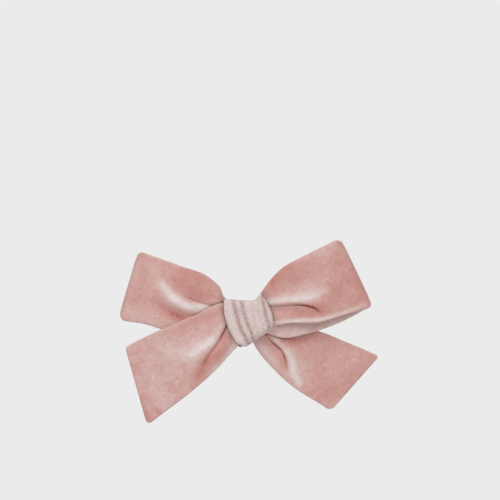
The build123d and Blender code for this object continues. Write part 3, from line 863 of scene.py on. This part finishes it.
for piece, nodes, length in (
    (make_right_loop(), ("right_loop_front", "right_loop_back"), LOOP_LENGTH),
    (make_left_loop(), ("left_loop_front", "left_loop_back"), LOOP_LENGTH),
    (make_left_tail(), ("left_tail",), TAIL_LENGTH),
    (make_right_tail(), ("right_tail",), TAIL_LENGTH),
):
    piece.data.materials.append(bow_velvet)
    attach(piece, "bow_and_base")
    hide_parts(*nodes)


# ---------------------------------------------------------------- waist and knot
def torus_faces(ids):
    """Quads of a grid of point numbers that closes on itself both ways."""
    beside = np.roll(ids, -1, 1)
    return np.stack([ids, beside, np.roll(beside, -1, 0), np.roll(ids, -1, 0)], -1).reshape(-1, 4)


def face_outwards(piece):
    """Merges doubled points, then turns every face of a closed piece outwards."""
    work = bmesh.new()
    work.from_mesh(piece.data)
    bmesh.ops.remove_doubles(work, verts=work.verts, dist=1e-7)
    bmesh.ops.recalc_face_normals(work, faces=work.faces)
    work.to_mesh(piece.data)
    work.free()


WAIST_REACH = 9.0  # half length along X
WAIST_HIGH = 8.9  # half height
WAIST_FILL = 0.86  # share of the room front to back that the waist's outline takes
WAIST_DEEP = (waist_mid_back - waist_front) / 2 * WAIST_FILL
WAIST_NAP = -0.25
PLEAT_COUNT = 18  # small pleats counted once round the waist
THREAD_TURNS, THREAD_PITCH, THREAD_RADIUS = 6, 0.62, 0.3


def squared(wave):
    """A sine or cosine drawn out towards 1 and -1, which squares up a round outline."""
    return np.sign(wave) * np.abs(wave) ** 0.7


def waist_outline(x, turn):
    """Half height and half depth of the waist at a turn about it: a squared round, pinched by the thread,
    wider towards both sides, and lower right drawn up under the knot's slanted edge."""
    wide = 1 + 0.05 * (x / WAIST_REACH) ** 2 - 0.05 * np.exp(-((x / 2.4) ** 2))
    lifted = 1 - 0.42 * eased((x + 2) / 11) * (np.sin(turn) < 0)
    return WAIST_HIGH * wide * lifted * squared(np.sin(turn)), WAIST_DEEP * wide * squared(np.cos(turn))


def gathered_waist():
    """The strip drawn together inside the knot: the waist's outline along X, with pleats that follow a
    cosine of the turn. Its two ends are closed with strips of quads."""
    x = np.linspace(-WAIST_REACH, WAIST_REACH, 60)[:, None]
    turn = np.linspace(0, 2 * math.pi, 181)[None, :-1]
    high, deep = waist_outline(x, turn)
    pleats = 1 + (0.02 + 0.05 * (x / WAIST_REACH) ** 2) * np.cos(turn * PLEAT_COUNT + 0.35 * x)
    grid = np.stack([x + 0 * high, waist_middle + deep * pleats, high * pleats], -1)
    ids = np.arange(grid.size // 3).reshape(grid.shape[:2])
    wrap = np.concatenate([ids, ids[:, :1]], 1)
    faces = [np.stack([wrap[:-1, :-1], wrap[:-1, 1:], wrap[1:, 1:], wrap[1:, :-1]], -1).reshape(-1, 4)]
    half = ids.shape[1] // 2
    for row in (ids[0], ids[-1]):
        near, far = row[:half + 1], np.concatenate([row[:1], row[:half - 1:-1]])
        faces.append(np.stack([near[:-1], near[1:], far[1:], far[:-1]], -1))
    nap_and_painted_light = {"nap_and_painted_light": np.full(ids.size, WAIST_NAP)}
    piece = new_mesh("gathered_waist", grid.reshape(-1, 3), np.concatenate(faces), nap_and_painted_light)
    face_outwards(piece)
    return piece


def wound_thread():
    """Turns of sewing thread side by side round the waist: a round section carried along the waist's own
    outline, its centre half a thread outside it."""
    turn = np.linspace(0, 2 * math.pi, 145)[:-1, None]
    section = np.linspace(0, 2 * math.pi, 11)[None, :-1]
    rings = []
    for k in range(THREAD_TURNS):
        x = (k - (THREAD_TURNS - 1) / 2) * THREAD_PITCH
        high, deep = waist_outline(x, turn)
        away = np.stack([0 * deep, deep / WAIST_DEEP**2, high / WAIST_HIGH**2], -1)
        away = away / np.linalg.norm(away, axis=-1, keepdims=True)
        centre = np.stack([x + 0 * deep, waist_middle + deep, high], -1) + away * THREAD_RADIUS * 0.5
        side = np.array([1.0, 0.0, 0.0]) * np.sin(section)[..., None]
        rings.append(centre + THREAD_RADIUS * (away * np.cos(section)[..., None] + side))
    ids = np.arange(turn.size * section.size).reshape(turn.size, section.size)
    faces = np.concatenate([torus_faces(ids + k * ids.size) for k in range(THREAD_TURNS)])
    piece = new_mesh("wound_thread", np.concatenate(rings).reshape(-1, 3), faces)
    face_outwards(piece)
    return piece


# Grooves between the knot's pleats, with their strengths
PLEATS = [
    ([(-9, 12.5), (-7.5, 5.5), (-6, -0.5), (-4.5, -5), (-2.5, -8.5), (-0.5, -12.5)], 1.0),
    ([(-4.5, 12.5), (-3.5, 6), (-2, 1), (0, -4), (1.5, -8), (2.5, -11.5)], 0.9),
    ([(1, 12.5), (1.5, 5), (2.5, -1), (4.5, -6), (5.5, -9)], 0.4),
    ([(4.5, 12.5), (5.5, 5), (6.5, -1), (8, -6)], 0.35),
    ([(7, 13), (8.5, 6), (9.5, 1), (10.5, -2.5), (11, -5)], 1.0),
]
BAND = 1.0  # thickness of the knot's cloth
PLATE = 0.8  # thickness of the base plate
PLATE_ARCH = 110.0  # radius of its arch
PLATE_CLEAR = 1.6  # the band goes round the plate this far above and below it
BACK_HALF_WIDTH = 11.4  # of the band behind the plate
PLEAT_SWELL, PLEAT_REACH = 0.9, 2.6  # how far the cloth swells, and how far from a groove it is full
GROOVE_DEPTH, GROOVE_WIDTH = 0.55, 0.95
SIDE_ROLL, SIDE_ROLL_DEPTH = 3.2, 2.6
END_ROLL, END_ROLL_DEPTH = 0.17, 3.6  # the first is a share of the knot's height
CROWN = 2.4  # the knot's front stands this far before the waist
knot_back = waist_mid_back + PAD + PLATE + BAND
knot_crown = waist_front - CROWN


def rolled(gap, reach, depth):
    """Quarter-ellipse drop of a surface towards an edge: nought past reach, depth at the edge itself."""
    return depth * (1 - np.sqrt(1 - (1 - np.clip(gap / reach, 0, 1)) ** 2))


def knot_surface():
    """Outer face of the knot. Its front is a patch between four edges: straight across between the side
    edges, corrected near the top and bottom by what those edges differ from the straight. It swells
    between the grooves, by distance from the nearest strong one. From its bottom edge a cubic curve leads
    behind the base plate, where the band follows the plate's arch, and another leads back to the top."""
    front_rows, turn_rows, back_rows = 150, 26, 24
    across = np.concatenate([[0, 0.006, 0.02, 0.045], np.linspace(0.08, 0.92, 116), [0.955, 0.98, 0.994, 1]])
    down = np.linspace(0, 1, front_rows)
    left, right = smooth_line(KNOT_LEFT, down), smooth_line(KNOT_RIGHT, down)
    flat = left[:, None] * (1 - across[None, :, None]) + right[:, None] * across[None, :, None]
    top, bottom = smooth_line(KNOT_TOP, across) - flat[0], smooth_line(KNOT_BOTTOM, across) - flat[-1]
    flat = flat + top * (1 - down)[:, None, None] ** 2 + bottom * down[:, None, None] ** 2
    x, z = flat[..., 0], flat[..., 1]
    nearest, groove = np.full(x.shape, 9.0), np.zeros(x.shape)
    for line, strength in PLEATS:
        gap, _, _ = near_line(x, z, line)
        nearest = np.where(strength > 0.5, np.minimum(nearest, gap), nearest)
        groove = groove + strength * np.exp(-((gap / GROOVE_WIDTH) ** 2))
    side = np.minimum(across, 1 - across)[None] * np.linalg.norm(left - right, axis=1)[:, None]
    swell = PLEAT_SWELL * np.sqrt(np.clip(nearest / PLEAT_REACH, 0, 1))
    y = knot_crown - swell + GROOVE_DEPTH * groove + rolled(side, SIDE_ROLL, SIDE_ROLL_DEPTH)
    y = y + rolled(np.minimum(down, 1 - down), END_ROLL, END_ROLL_DEPTH)[:, None]
    front = np.stack([x, y, z], -1)
    back_x = np.linspace(-BACK_HALF_WIDTH, BACK_HALF_WIDTH, len(across))
    back_y = knot_back + back_x**2 / (2 * PLATE_ARCH)
    half_height = plate_high[2] / MM + PLATE_CLEAR
    low, high = (np.stack([back_x, back_y, np.full(len(across), s * half_height)], -1) for s in (-1, 1))

    def lead(start, end, start_pull, end_pull):
        """Rows of a cubic curve between two edges; the pulls are its inner control points' steps off them."""
        u = np.linspace(0, 1, turn_rows + 2)[1:-1, None, None]
        return ((1 - u) ** 3 * start + 3 * (1 - u) ** 2 * u * (start + start_pull)
                + 3 * (1 - u) * u**2 * (end + end_pull) + u**3 * end)

    under = lead(front[-1], low, np.array([0, 4.4, -1.0]), np.array([0, -0.6, -4.4]))
    over = lead(high, front[0], np.array([0, -0.6, 4.8]), np.array([0, 4.4, 0.6]))
    u = np.linspace(0, 1, back_rows)[:, None, None]
    grid = np.concatenate([front, under, low * (1 - u) + high * u, over])
    tone = np.full(grid.shape[:2], 0.1)
    # Painted light and shade on the knot's front: painted highlight on the pleats' swells, painted shade in
    # the grooves between them, and a painted sheen along its rolled side edges
    tone[:front_rows] = 0.06 + 0.28 * np.clip(nearest / PLEAT_REACH, 0, 1) - 0.55 * np.clip(groove, 0, 1.2)
    tone[:front_rows] += 0.2 * np.exp(-((side / 2.2) ** 2))
    return grid, tone


def pleated_knot():
    """The knot's band: the outer face, and an inner face one cloth thickness under it along the normal,
    joined round both side edges. It closes on itself round the waist."""
    grid, tone = knot_surface()
    normal = grid_normals(np.concatenate([grid[-1:], grid, grid[:1]]))[1:-1]
    outward = np.sign(((grid - grid.mean((0, 1))) * normal).sum(-1).mean())
    ring = np.concatenate([grid, (grid - normal * outward * BAND)[:, ::-1]], 1)
    faces = torus_faces(np.arange(ring.size // 3).reshape(ring.shape[:2]))
    nap_and_painted_light = np.concatenate([tone, tone[:, ::-1] - 0.3], 1)
    piece = new_mesh("pleated_knot", ring.reshape(-1, 3), faces, {"nap_and_painted_light": nap_and_painted_light})
    face_outwards(piece)
    return piece


waist = gathered_waist()
waist.data.materials.append(bow_velvet)
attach(waist, "bow_and_base")
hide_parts("waist_gathers")

thread = wound_thread()
thread.data.materials.append(thread_finish())
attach(thread, "bow_and_base")
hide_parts("waist_thread")

knot = pleated_knot()
knot.data.materials.append(knot_velour)
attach(knot, "bow_and_base")
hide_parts("knot_wrap")

# ---------------------------------------------------------------- the clip's finishes
for finish, nodes in (
    (nickel, ("base_plate", "hinge_pin", "clasp_arm", "catch_rivet")),
    (spring_steel, ("tension_bar", "catch_bridge", "catch_prong_upper", "catch_prong_lower")),
    (glue_finish(), ("glue_pad",)),
):
    for node in nodes:
        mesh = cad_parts[node].data
        mesh.materials.clear()
        mesh.materials.append(finish)


# ---------------------------------------------------------------- floor
FLOOR_HEIGHT = -200.0
FLOOR_RADIUS = 800.0
FLOOR_HOLE = 0.5  # radius of the innermost ring, so that no two of its points meet
FLOOR_RINGS, FLOOR_RAYS = 12, 96
FLOOR_DARK, FLOOR_LIGHT = (208, 208, 208), (212, 212, 212)


def pale_floor():
    """Plain studio floor, well below the bow: a disc, as a grid of rings and rays."""
    ring = np.linspace(FLOOR_HOLE, FLOOR_RADIUS, FLOOR_RINGS)[:, None]
    ray = np.linspace(0, 2 * math.pi, FLOOR_RAYS + 1)[None, :-1]
    points = np.stack([ring * np.cos(ray), ring * np.sin(ray), FLOOR_HEIGHT + 0 * ring * ray], -1)
    ids = np.arange(FLOOR_RINGS * FLOOR_RAYS).reshape(FLOOR_RINGS, FLOOR_RAYS)
    wrap = np.concatenate([ids, ids[:, :1]], 1)
    floor = new_mesh("floor", points.reshape(-1, 3), grid_quads(wrap))
    look = Finish("pale_floor")
    clouds = look.noise(look.place(), scale=6.0, detail=2.0)
    tint = look.ramp(clouds, [(0.3, srgb(*FLOOR_DARK)), (0.7, srgb(*FLOOR_LIGHT))])
    floor.data.materials.append(look.done(Base_Color=tint, Roughness=0.9))


pale_floor()
